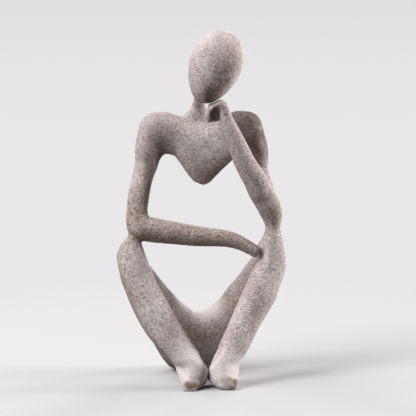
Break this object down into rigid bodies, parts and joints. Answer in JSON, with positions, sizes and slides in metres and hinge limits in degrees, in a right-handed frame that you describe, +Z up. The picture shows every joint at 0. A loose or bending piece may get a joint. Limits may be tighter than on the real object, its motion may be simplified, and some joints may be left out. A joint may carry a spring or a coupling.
{
  "type": "abstract figure sculpture",
  "caption": "Seated abstract thinking figure with a smooth egg head, one hand at the chin and the other on the knee, in sand-finished cast resin.",
  "frame": {"origin": "centre of the figure's outer box, on the surface it stands on", "axes": "+Z up to the crown of the head, the figure faces -Y, and its left side is at +X"},
  "size_m": [0.1257, 0.1015, 0.26],
  "materials": {
    "sand_resin": "matte sandstone-effect cast resin, pinkish grey with fine dark and light grains",
    "dowel_steel": "plain ground steel rod"
  },
  "bodies": {
    "root": {"head": "sand_resin", "torso": "sand_resin", "right_upper_arm": "sand_resin", "right_forearm": "sand_resin", "left_upper_arm": "sand_resin", "left_forearm": "sand_resin", "left_hand": "sand_resin", "hips": "sand_resin", "right_thigh": "sand_resin", "left_thigh": "sand_resin", "right_shin": "sand_resin", "left_shin": "sand_resin", "right_foot": "sand_resin", "left_foot": "sand_resin", "limb_dowels": "dowel_steel", "slim_dowels": "dowel_steel"}
  },
  "joints": []
}
